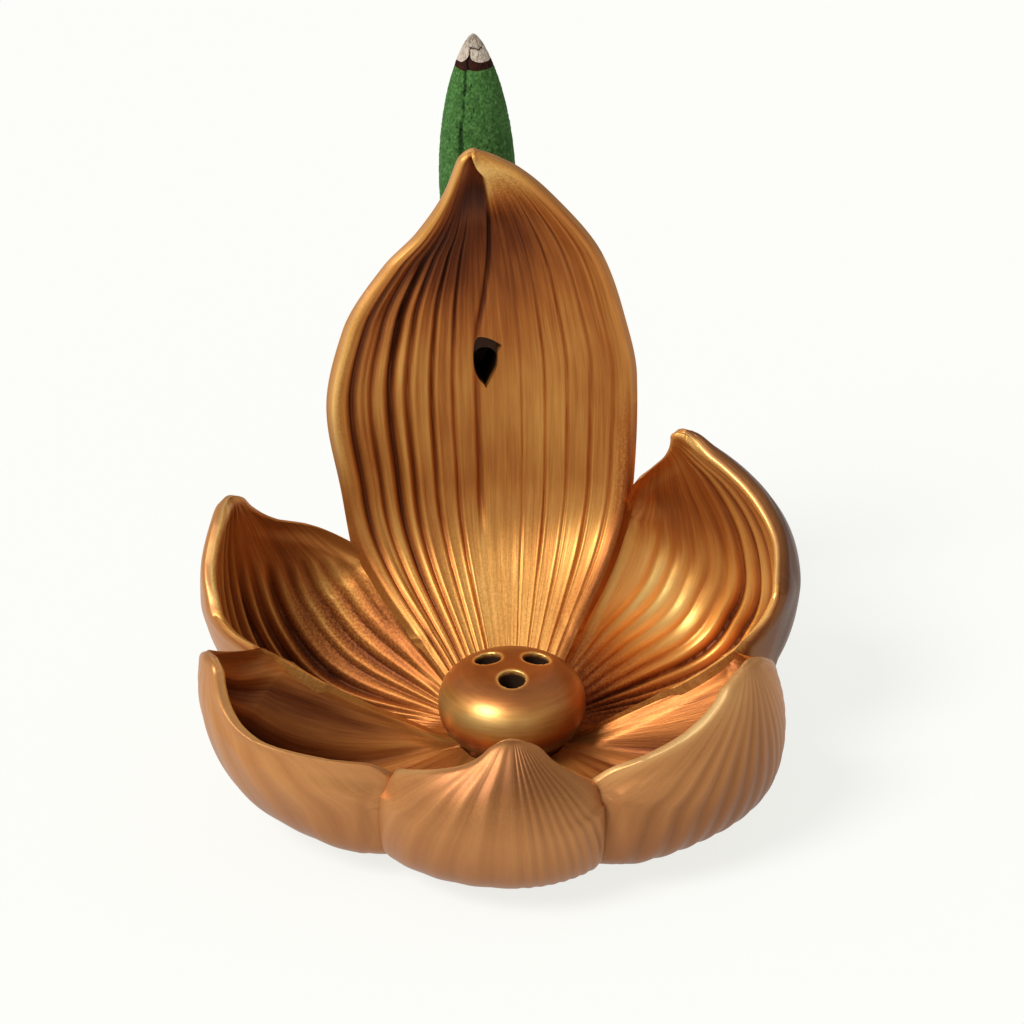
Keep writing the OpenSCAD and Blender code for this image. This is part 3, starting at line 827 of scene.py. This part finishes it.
def remeshed(obj, voxel, passes):
    """Melts the object's parts into one skin, so that its edges and inner corners are rounded."""
    melt = obj.modifiers.new("melt", "REMESH")
    melt.mode = "VOXEL"
    melt.voxel_size = voxel * MM
    even = obj.modifiers.new("even", "SMOOTH")
    even.factor = 0.5
    even.iterations = passes
    apply_modifiers(obj)
    shade_smooth(obj.data)
    return obj


def mesh_points(obj):
    points = np.zeros(len(obj.data.vertices) * 3)
    obj.data.vertices.foreach_get("co", points)
    return points.reshape(-1, 3) / MM


# Materials

class Shader:
    """A node material with one Principled surface, and short calls for its nodes."""

    def __init__(self, name, metallic, roughness):
        self.material = bpy.data.materials.new(name)
        self.material.use_nodes = True
        self.tree = self.material.node_tree
        self.tree.nodes.clear()
        self.surface = self.node("ShaderNodeBsdfPrincipled", {"Metallic": metallic, "Roughness": roughness})
        self.output = self.node("ShaderNodeOutputMaterial", {"Surface": self.surface.outputs[0]})

    def node(self, kind, inputs=None, **settings):
        made = self.tree.nodes.new(kind)
        for key, value in settings.items():
            setattr(made, key, value)
        for key, value in (inputs or {}).items():
            self.put(made.inputs[key], value)
        return made

    def put(self, socket, value):
        if isinstance(value, bpy.types.NodeSocket):
            self.tree.links.new(value, socket)
        else:
            socket.default_value = value

    def set(self, name, value):
        self.put(self.surface.inputs[name], value)

    def math(self, operation, a, b):
        return self.node("ShaderNodeMath", {0: a, 1: b}, operation=operation).outputs[0]

    def weighted(self, start, *terms):
        """start plus each (socket, weight, middle): weight times how far the socket is from the middle."""
        total = start
        for socket, weight, middle in terms:
            off = self.math("SUBTRACT", socket, middle)
            total = self.math("ADD", total, self.math("MULTIPLY", off, weight))
        return total

    def value(self, name):
        return self.node("ShaderNodeAttribute", attribute_name=name).outputs["Fac"]

    def place(self, output, scale):
        coords = self.node("ShaderNodeTexCoord").outputs[output]
        return self.node("ShaderNodeMapping", {"Vector": coords, "Scale": scale}).outputs[0]

    def noise(self, vector, detail, roughness=0.5):
        inputs = {"Vector": vector, "Scale": 1.0, "Detail": detail, "Roughness": roughness}
        return self.node("ShaderNodeTexNoise", inputs).outputs["Fac"]

    def ramp(self, factor, stops):
        made = self.node("ShaderNodeValToRGB", {"Fac": factor})
        points = made.color_ramp.elements
        while len(points) < len(stops):
            points.new(0.5)
        for point, (place, colour) in zip(points, stops):
            point.position = place
            point.color = (*colour, 1)
        return made.outputs["Color"]

    def span(self, value, low, high, to_low=0.0, to_high=1.0):
        inputs = {"Value": value, "From Min": low, "From Max": high, "To Min": to_low, "To Max": to_high}
        return self.node("ShaderNodeMapRange", inputs).outputs[0]

    def mix(self, factor, a, b):
        made = self.node("ShaderNodeMix", data_type="RGBA")
        self.put(made.inputs[0], factor)
        self.put(made.inputs[6], a)
        self.put(made.inputs[7], b)
        return made.outputs[2]

    def bump(self, height, strength, distance):
        inputs = {"Height": height, "Strength": strength, "Distance": distance * MM}
        self.set("Normal", self.node("ShaderNodeBump", inputs).outputs[0])


GOLD_RAMP = [
    (0.0, (0.055, 0.012, 0.003)),
    (0.26, (0.200, 0.049, 0.009)),
    (0.5, (0.470, 0.153, 0.028)),
    (0.74, (0.715, 0.340, 0.076)),
    (1.0, (0.940, 0.590, 0.185)),
]
TAN_RAMP = [
    (0.0, (0.120, 0.038, 0.010)),
    (0.35, (0.310, 0.118, 0.033)),
    (0.6, (0.500, 0.215, 0.068)),
    (0.82, (0.660, 0.335, 0.115)),
    (1.0, (0.850, 0.550, 0.230)),
]
# Dark brown inside the holes: soot, and painted shade in their depth.
SOOT_SHADE_COLOUR = (0.045, 0.020, 0.009, 1)
LOW_SHADE_TAN = (0.300, 0.118, 0.044, 1)
FLOOR_WHITE = (0.975, 0.98, 0.94, 1)
FLOOR_OWN_WHITE = 0.82


def gold_inside():
    """Brushed antique gold: brown wash in the grooves, rubbed bright on ridges and rims."""
    s = Shader("gold_inside", 0.65, 0.38)
    streak = s.noise(s.place("UV", (1.3, 0.05, 1)), 5, 0.6)
    hair = s.noise(s.place("UV", (6, 0.14, 1)), 3, 0.6)
    patch = s.noise(s.place("UV", (0.11, 0.05, 1)), 2)
    grain = s.noise(s.place("Object", (2600,) * 3), 2, 0.6)
    worn = s.value("worn")
    rubbed = s.math("MULTIPLY", worn, s.span(grain, 0.38, 0.62, -0.1, 0.75))
    # The shade value adds the listed paint tones, among them painted shade and painted highlights.
    tone = s.weighted(0.57, (s.value("relief"), 0.42, 0), (streak, 0.42, 0.5), (hair, 0.22, 0.5),
                      (patch, 0.4, 0.5), (s.value("shade"), 1.0, 0), (s.value("rim"), 0.25, 0),
                      (rubbed, 0.4, 0))
    s.set("Base Color", s.mix(s.value("soot_and_shade"), s.ramp(tone, GOLD_RAMP), SOOT_SHADE_COLOUR))
    s.set("Roughness", s.weighted(0.41, (tone, -0.08, 0.5), (grain, 0.2, 0.5), (worn, 0.28, 0)))
    height = s.weighted(0.0, (streak, 0.4, 0), (hair, 0.3, 0), (s.math("MULTIPLY", grain, worn), 0.55, 0))
    s.bump(height, 0.5, 0.2)
    return s.material


def gold_outside():
    """Satin tan-gold paint, pinker and darker low down, the darkening being painted shade near the floor,
    and rubbed pale along the rims.
    """
    s = Shader("gold_outside", 0.55, 0.44)
    streak = s.noise(s.place("UV", (0.8, 0.04, 1)), 4, 0.6)
    patch = s.noise(s.place("Object", (45,) * 3), 3)
    grain = s.noise(s.place("Object", (3000,) * 3), 2, 0.6)
    # The shade value adds the listed paint tones outside, among them painted shade and painted highlights.
    tone = s.weighted(0.58, (s.value("relief"), 0.7, 0), (streak, 0.25, 0.5), (patch, 0.3, 0.5),
                      (s.value("shade"), 1.0, 0), (s.value("rim"), 0.28, 0), (grain, 0.1, 0.5))
    paint = s.ramp(tone, TAN_RAMP)
    coords = s.node("ShaderNodeTexCoord").outputs["Object"]
    height = s.node("ShaderNodeSeparateXYZ", {0: coords}).outputs["Z"]
    # Darker and pinker towards the floor: the pink is paint tone, the darkening is painted shade.
    low = s.span(height, 0.003, 0.02, 0.75, 0.0)
    paint = s.mix(low, paint, LOW_SHADE_TAN)
    s.set("Base Color", s.mix(s.value("soot_and_shade"), paint, SOOT_SHADE_COLOUR))
    s.set("Roughness", s.weighted(0.42, (grain, 0.2, 0.5), (patch, 0.15, 0.5)))
    s.set("Specular IOR Level", 0.35)
    s.bump(s.weighted(0.0, (streak, 0.4, 0), (grain, 0.2, 0)), 0.35, 0.12)
    return s.material


def gold_pod():
    """Smooth gold with fine level scratches, dark inside the holes as soot and painted shade, and pale hole
    edges, partly rubbed and partly a painted highlight.
    """
    s = Shader("gold_pod", 0.75, 0.4)
    scratch = s.noise(s.place("Object", (120, 120, 2600)), 4, 0.65)
    patch = s.noise(s.place("Object", (130,) * 3), 3)
    grain = s.noise(s.place("Object", (3000,) * 3), 2, 0.6)
    # The shade value brightens a band towards the lamp, rubbed gold and a painted highlight, and darkens the
    # low part as painted shade.
    tone = s.weighted(0.5, (scratch, 0.24, 0.5), (patch, 0.35, 0.5), (s.value("rim"), 0.5, 0),
                      (s.value("shade"), 1.0, 0))
    s.set("Base Color", s.mix(s.value("soot_and_shade"), s.ramp(tone, GOLD_RAMP), SOOT_SHADE_COLOUR))
    s.set("Roughness", s.weighted(0.4, (scratch, 0.2, 0.5), (grain, 0.1, 0.5), (s.value("soot_and_shade"), 0.5, 0)))
    s.bump(s.weighted(0.0, (scratch, 0.5, 0), (grain, 0.2, 0)), 0.3, 0.1)
    s.set("Coat Weight", 0.45)
    s.set("Coat Roughness", 0.3)
    return s.material


def incense(name, stops, bump_depth):
    """Pressed powder: coarse grains with pits."""
    s = Shader(name, 0.0, 0.85)
    grain = s.noise(s.place("Object", (2200,) * 3), 4, 0.65)
    clump = s.noise(s.place("Object", (600,) * 3), 3, 0.5)
    tone = s.weighted(0.5, (grain, 0.9, 0.5), (clump, 0.3, 0.5), (s.value("relief"), 1.3, 0))
    s.set("Base Color", s.ramp(tone, stops))
    s.set("Specular IOR Level", 0.15)
    s.bump(s.weighted(0.0, (grain, 0.8, 0), (clump, 0.2, 0)), 0.8, bump_depth)
    return s.material


def floor_paint():
    """White floor, mostly its own white where it is seen, so that the object's shadow stays soft."""
    s = Shader("floor", 0.0, 0.9)
    mottle = s.noise(s.place("Object", (3,) * 3), 2)
    s.set("Base Color", s.ramp(mottle, [(0.3, (0.93, 0.93, 0.92)), (0.7, (0.95, 0.95, 0.94))]))
    s.set("Specular IOR Level", 0.0)
    path = s.node("ShaderNodeLightPath").outputs
    seen = s.math("MAXIMUM", path["Is Camera Ray"], path["Is Glossy Ray"])
    seen = s.math("MAXIMUM", seen, path["Is Transmission Ray"])
    white = s.node("ShaderNodeEmission", {"Color": FLOOR_WHITE}).outputs[0]
    blend = s.node("ShaderNodeMixShader", {"Fac": s.math("MULTIPLY", seen, FLOOR_OWN_WHITE)})
    s.put(blend.inputs[1], s.surface.outputs[0])
    s.put(blend.inputs[2], white)
    s.put(s.output.inputs["Surface"], blend.outputs[0])
    return s.material


# Pieces

def dress(obj, body, slot, *nodes):
    """Makes the piece ride on its body in place of the CAD nodes it stands for."""
    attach(obj, body)
    if nodes:
        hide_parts(*nodes)
    return obj


OUTLET_R, OUTLET_Z = bezier(BACK.curve, OUTLET_SHARE)
OUTLET_TURN = math.radians(float(petal_turn(BACK, np.array(OUTLET_SHARE), np.array(0.0))))
OUTWARD = np.array((math.cos(OUTLET_TURN), math.sin(OUTLET_TURN), 0))
SIDEWAYS = np.array((-math.sin(OUTLET_TURN), math.cos(OUTLET_TURN), 0))
UP = np.array((0, 0, 1))
CONE_AXIS = OUTWARD * (OUTLET_R + CUP_CLEAR + CUP_R)
OUTLET_HALF_W = 2.9
OUTLET_HALF_H = 4.4
OUTLET_NOTCH_TURN = 5.35
MOUTH_DEPTH = 7
SOOT_SHADE_DEPTH = 13.5
SOOT_SHADE_ASIDE = 1.08


def outlet_cutter(reach):
    """A ragged teardrop, wide at the top and notched at one side, along the outlet's direction."""
    t = np.linspace(0, 2 * math.pi, 72, endpoint=False)
    x = OUTLET_HALF_W * np.sin(t) * (0.66 + 0.42 * np.cos(t) + 0.1 * np.cos(3 * t))
    x -= 0.7 * np.exp(-((t - OUTLET_NOTCH_TURN) / 0.16) ** 2)
    z = OUTLET_HALF_H * np.cos(t) + 0.2 * np.sin(5 * t)
    outline = x[:, None] * SIDEWAYS + (z[:, None] + OUTLET_Z) * UP
    near = outline + OUTWARD * (OUTLET_R - 3 * WALL)
    far = outline + OUTWARD * (OUTLET_R + reach)
    count = len(t)
    sides = [[i, (i + 1) % count, count + (i + 1) % count, count + i] for i in range(count)]
    caps = [list(range(count)), list(range(2 * count - 1, count - 1, -1))]
    return mesh_object("outlet_cutter", np.concatenate([near, far]), sides + caps, [])


def soot_and_shade_outlet(obj):
    """Dark paint on the walls of the outlet, from just behind the petal's inner face: soot, and painted
    shade in the hole.
    """
    u = np.linspace(0, 1, 200)
    face = inner_section(BACK, u, 0 * u)
    at = mesh_points(obj)
    deep = at @ OUTWARD - np.interp(at[:, 2], face[:, 1], face[:, 0])
    aside = np.hypot(at @ SIDEWAYS / OUTLET_HALF_W, (at[:, 2] - OUTLET_Z) / OUTLET_HALF_H)
    near = (deep < SOOT_SHADE_DEPTH) * (aside < SOOT_SHADE_ASIDE)
    set_value(obj.data, "soot_and_shade", smooth((deep - 0.4) / 0.8) * near)


def make_petals(inside, outside):
    for petal in PETALS:
        obj = petal_object(petal, inside, outside)
        if petal is BACK:
            boolean(obj, [outlet_cutter(WALL)])
            obj.data.set_sharp_from_angle(angle=SHARP_EDGE)
            soot_and_shade_outlet(obj)
        dress(obj, "burner", petal.slot, petal.node)


def pod_profile():
    low = -(1 - (SPIGOT_R / POD_R) ** POD_SQUARENESS) ** (1 / POD_SQUARENESS)
    k = low + (1 - low) * np.sin(np.linspace(0, math.pi / 2, 60))
    r = POD_R * np.maximum(1 - np.abs(k) ** POD_SQUARENESS, 0) ** (1 / POD_SQUARENESS)
    body = list(zip(r[:-1], (POD_MID_Z + k * POD_HALF_H)[:-1]))
    return [(0, BASE_TOP), (SPIGOT_R, BASE_TOP), *body, (0, POD_MID_Z + POD_HALF_H)]


# A band of the pod painted paler on the lamp's side: rubbed gold and a painted highlight.
POD_RUB_SHEEN_TURN = 228
POD_RUB_SHEEN_Z = 15.6
POD_RUB_SHEEN_H = 2.6


def make_pod():
    points, faces = lathe(pod_profile(), 128)
    pod = mesh_object("seed_pod_cast", points, faces, [])
    turns = [math.radians(t) for t in STICK_TURNS]
    places = [np.array((STICK_RING_R * math.cos(t), STICK_RING_R * math.sin(t))) for t in turns]
    top = POD_MID_Z + POD_HALF_H
    drills = [rod("drill", STICK_R, (*p, BASE_TOP - 1), (*p, top + 1)) for p in places]
    boolean(pod, drills)
    remeshed(pod, 0.2, 4)
    pod.data.materials.clear()
    pod.data.materials.append(gold_pod())
    at = mesh_points(pod)
    run = np.min([np.linalg.norm(at[:, :2] - p, axis=1) for p in places], axis=0)
    skin = np.array(pod_profile()[2:])[::-1]
    deep = np.interp(np.hypot(at[:, 0], at[:, 1]), skin[:, 0], skin[:, 1]) - at[:, 2]
    # Hole edges painted pale: rubbed gold and a painted highlight of the lit hole walls.
    hole_edge_rub_and_sheen = np.exp(-((run - STICK_R - 0.15) / 0.3) ** 2)
    set_value(pod.data, "rim", hole_edge_rub_and_sheen * (at[:, 2] > POD_MID_Z) * (deep < 0.6))
    # Dark inside the holes below their rims: painted shade in the recess.
    set_value(pod.data, "soot_and_shade", (run < STICK_R + 0.6) * smooth((deep - 0.45) / 0.5))
    # Paler band towards the lamp (rubbed gold and a painted highlight), a little darker overall, and darker
    # low down as painted shade near the petals.
    towards = np.cos(np.arctan2(at[:, 1], at[:, 0]) - math.radians(POD_RUB_SHEEN_TURN))
    rub_and_sheen = np.exp(-((at[:, 2] - POD_RUB_SHEEN_Z) / POD_RUB_SHEEN_H) ** 2) * smooth(0.5 + 0.5 * towards)
    set_value(pod.data, "shade", 0.5 * rub_and_sheen - 0.1 - 0.34 * smooth((POD_RUB_SHEEN_Z - 2 - at[:, 2]) / 3))
    dress(pod, "burner", "gold_pod", "seed_pod")


def make_holder(outside):
    t = np.linspace(0, 1, 14)
    low = OUTLET_Z - NECK_R - NUB_DROP
    nub = [(STEM_R * math.sin(a), low + NUB_H * (1 - math.cos(a))) for a in t[1:] * math.pi / 2]
    flare = [(STEM_R + (CUP_R - STEM_R) * smooth(a), SEAT_Z - FLARE_H + a * FLARE_H) for a in t]
    profile = [(0, low), *nub, *flare, (CUP_R, RIM_Z), (0, RIM_Z)]
    points, faces = lathe(profile, 96)
    holder = mesh_object("cone_holder_cast", points + CONE_AXIS, faces, [])
    outlet = OUTWARD * (OUTLET_R - SOCKET_SUNK) + (0, 0, OUTLET_Z)
    bend = CONE_AXIS + (0, 0, OUTLET_Z)
    boolean(holder, [rod("neck", NECK_R, outlet, bend)], "UNION")
    remeshed(holder, 0.3, 6)
    cuts = [
        rod("recess", RECESS_R, CONE_AXIS + UP * SEAT_Z, CONE_AXIS + UP * (RIM_Z + 2), 96),
        rod("chimney", CHANNEL_R, bend, CONE_AXIS + UP * (SEAT_Z + 1)),
        rod("passage", CHANNEL_R, outlet - OUTWARD, bend),
        outlet_cutter(MOUTH_DEPTH),
    ]
    boolean(holder, cuts)
    holder.data.materials.clear()
    holder.data.materials.append(outside)
    holder.data.set_sharp_from_angle(angle=HOLDER_SHARP_EDGE)
    soot_and_shade_outlet(holder)
    dress(holder, "burner", "gold_outside", "cone_holder")


def cone_radius(z):
    t = np.clip((CONE_TOP - z) / NOSE_H, 0, 1)
    return CONE_R * (1 - (1 - t) ** NOSE_ROUND) ** NOSE_POINT


CONE_ASIDE = 0.4
CONE_LEAN = -0.024
CONE_SEAM_TURN = 246
CHAR_Z = 102.7
ASH_Z = 103.8
CRACK_TURN = 251
CRACK_H = 1.3
CAP_Z = 105.8


def burnt_edge(turn, seed):
    """How far the edge of the char lies above its mean height, by the turn in degrees."""
    return 0.3 * fractal(turn / 40, turn * 0, seed, 2) * np.sin(np.radians(turn) / 2) ** 2


def ash_cracks(turn, z):
    """Depth of the cracks in the ash: one up from the char's peak, and one round below the cap."""
    up = np.exp(-((turn - CRACK_TURN - 7 * fractal(z * 1.2, z * 0, 97, 2)) / 4) ** 2)
    up = up * smooth((CAP_Z + 0.1 - z) / 0.3)
    level_at = CAP_Z + 0.35 * fractal(turn / 25, turn * 0, 99, 2)
    round_ = np.exp(-((z - level_at) / 0.14) ** 2) * smooth((turn - 235) / 12) * smooth((345 - turn) / 40)
    return 0.28 * np.maximum(up, round_)


def cone_piece(name, low, high, node, slot, material, grain, step, bore=False):
    """A turned slice of the cone, roughened: pressed powder with a pitted mould seam, or cracked ash."""
    z = np.linspace(low, high, max(int((high - low) / step), 8))
    skin = [(r, h) for r, h in zip(cone_radius(z), z) if r > 0]
    start = [(0, low)]
    if bore:
        start = [(0, low + CONE_BORE_H), (CONE_BORE_R, low + CONE_BORE_H), (CONE_BORE_R, low)]
    points, faces = lathe([*start, *skin, (0, high)], 240)
    turn = np.arctan2(points[:, 1], points[:, 0])
    degrees = np.degrees(turn) % 360
    run = np.hypot(points[:, 0], points[:, 1])
    on_skin = run > CONE_BORE_R + 0.2 if bore else run > 0.4
    near_char = np.exp(-np.abs(points[:, 2] - CHAR_Z) / 0.8) * burnt_edge(degrees, 91)
    peak = CRACK_H * np.exp(-np.abs(degrees - CRACK_TURN) / 14)
    above = points[:, 2] - ASH_Z
    near_ash = np.exp(-np.where(above > 0, above / 2, -above / 0.4)) * (burnt_edge(degrees, 95) + peak)
    moved = points[:, 2] + np.where(on_skin, near_char + near_ash, 0)
    slim = np.where(on_skin, cone_radius(moved) / np.maximum(cone_radius(points[:, 2]), 0.1), 1)
    points[:, 2] = moved
    across = turn * CONE_R
    rough = grain * fractal(across * 2.6, moved * 2.6, 71, 3)
    off_seam = (degrees - CONE_SEAM_TURN) + 3 * fractal(moved * 0.5, across * 0, 77, 2)
    seam = np.exp(-(off_seam / 3.5) ** 2) * (0.6 + 0.6 * fractal(moved * 2.2, across * 0.3, 83, 2))
    pits = smooth(fractal(across * 3.4, moved * 3.4, 87, 2) * 4 - 1.6) * np.exp(-(off_seam / 26) ** 2)
    green = low < CHAR_Z
    shift = rough - (0.45 * seam + 0.25 * pits if green else ash_cracks(degrees, moved))
    shift = np.where(on_skin, shift, 0)
    points[:, :2] *= (slim + shift / np.maximum(run, 0.5))[:, None]
    points[:, 0] += CONE_ASIDE + CONE_LEAN * (moved - SEAT_Z)
    tone = shift if green else shift * 1.5 - 0.12 * smooth((moved - CAP_Z) / 0.3)
    piece = mesh_object(name, points + CONE_AXIS, faces, [material], values={"relief": tone})
    dress(piece, "cone", slot, node)


def make_cone():
    green = incense("incense_green", [(0.2, (0.014, 0.045, 0.009)), (0.5, (0.048, 0.132, 0.028)),
                                      (0.85, (0.130, 0.290, 0.085))], 0.2)
    char = incense("char", [(0.2, (0.005, 0.002, 0.001)), (0.8, (0.050, 0.011, 0.004))], 0.2)
    ash = incense("ash", [(0.05, (0.050, 0.030, 0.020)), (0.42, (0.420, 0.345, 0.270)),
                          (0.85, (0.640, 0.560, 0.470))], 0.1)
    cone_piece("incense_cone_pressed", CONE_Z, CHAR_Z, "incense_cone", "incense_green", green, 0.12, 0.2,
               bore=True)
    cone_piece("char_band_burnt", CHAR_Z, ASH_Z, "char_band", "char", char, 0.14, 0.1)
    cone_piece("ash_tip_burnt", ASH_Z, CONE_TOP, "ash_tip", "ash", ash, 0.14, 0.1)


# Stage

FLOOR_HALF = 20000
SKY = (0.40, 0.40, 0.395, 1)
SUN_FROM = (-0.64, -0.52, 0.84)
SUN_STRENGTH = 3.0
SUN_SPREAD = 25
CAMERA_ELEVATION = 27
CAMERA_DISTANCE_M = 0.56
CAMERA_TARGET_M = (0, 0, 0.047)
CAMERA_LENS = 129.7
CAMERA_SENSOR = 36


def make_floor():
    corners = [(x * FLOOR_HALF, y * FLOOR_HALF, 0) for x, y in ((-1, -1), (1, -1), (1, 1), (-1, 1))]
    floor = mesh_object("floor", corners, [[0, 1, 2, 3]], [floor_paint()])


def make_light():
    world = bpy.data.worlds.new("studio")
    world.use_nodes = True
    sky = world.node_tree.nodes["Background"]
    sky.inputs["Color"].default_value = SKY
    bpy.context.scene.world = world
    key = bpy.data.lights.new("key", "SUN")
    key.energy = SUN_STRENGTH
    key.angle = math.radians(SUN_SPREAD)
    lamp = bpy.data.objects.new("key", key)
    lamp.rotation_mode = "QUATERNION"
    lamp.rotation_quaternion = Vector(SUN_FROM).to_track_quat("Z", "Y")
    bpy.context.collection.objects.link(lamp)


def make_camera():
    elevation = math.radians(CAMERA_ELEVATION)
    lens = bpy.data.cameras.new("camera")
    lens.lens = CAMERA_LENS
    lens.sensor_width = CAMERA_SENSOR
    camera = bpy.data.objects.new("camera", lens)
    back = Vector((0, -math.cos(elevation), math.sin(elevation)))
    camera.location = Vector(CAMERA_TARGET_M) + CAMERA_DISTANCE_M * back
    camera.rotation_mode = "QUATERNION"
    camera.rotation_quaternion = back.to_track_quat("Z", "Y")
    bpy.context.collection.objects.link(camera)
    bpy.context.scene.camera = camera


inside_paint = gold_inside()
outside_paint = gold_outside()
make_petals(inside_paint, outside_paint)
make_pod()
make_holder(outside_paint)
make_cone()
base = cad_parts["base"]
base.data.materials.clear()
base.data.materials.append(outside_paint)
make_floor()
make_light()
make_camera()
bpy.context.scene.view_settings.view_transform = "Standard"
